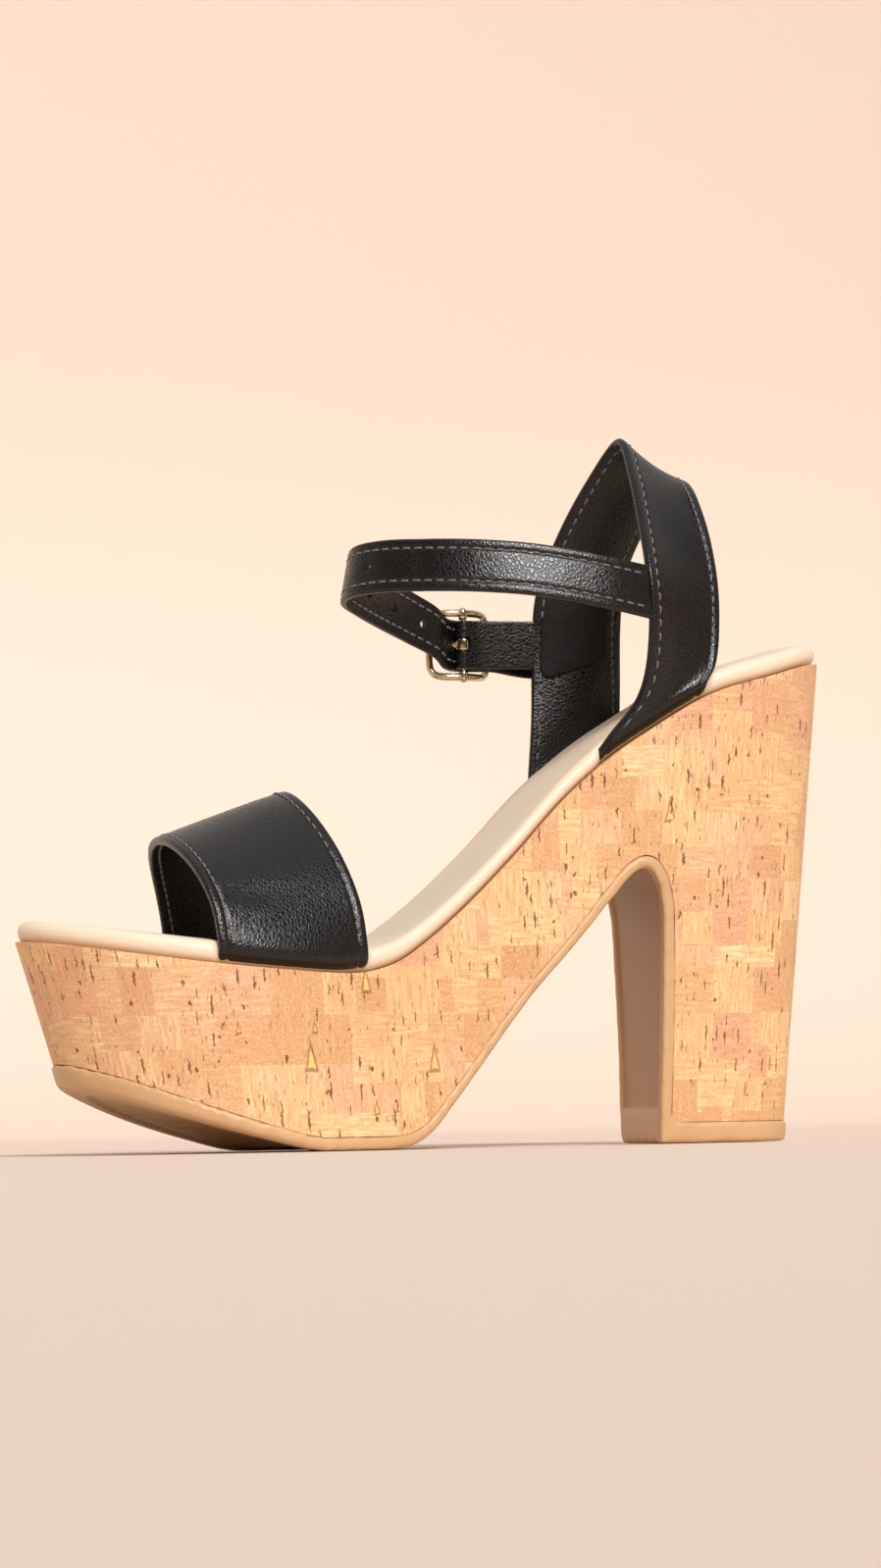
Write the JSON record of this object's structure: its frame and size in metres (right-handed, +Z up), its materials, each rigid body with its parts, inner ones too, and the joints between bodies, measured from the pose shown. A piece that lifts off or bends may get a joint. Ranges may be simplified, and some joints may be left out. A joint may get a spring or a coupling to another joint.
{
  "type": "platform sandal",
  "caption": "Open-toe platform sandal with a high block heel, a padded footbed, a wide strap over the toes and a heel strap with a buckled ankle strap.",
  "frame": {"origin": "on the floor under the middle of the shoe's bounding box", "axes": "+X from the heel to the toe, +Y to the inner side of the foot, +Z up; the shoe stands on z = 0"},
  "size_m": [0.2082, 0.0808, 0.178],
  "materials": {
    "cork": "satin cork veneer in patches, with short dark pores",
    "outsole": "satin moulded rubber, fine tread",
    "footbed": "satin cream synthetic leather over padding",
    "strap": "semi-gloss black pebbled synthetic leather, stitched edges",
    "buckle": "polished pale gold plating"
  },
  "bodies": {
    "root": {"platform_block": "cork", "outsole": "outsole", "footbed": "footbed", "toe_strap": "strap", "ankle_upper": "strap", "buckle_frame": "buckle", "buckle_prong": "buckle"}
  },
  "joints": []
}
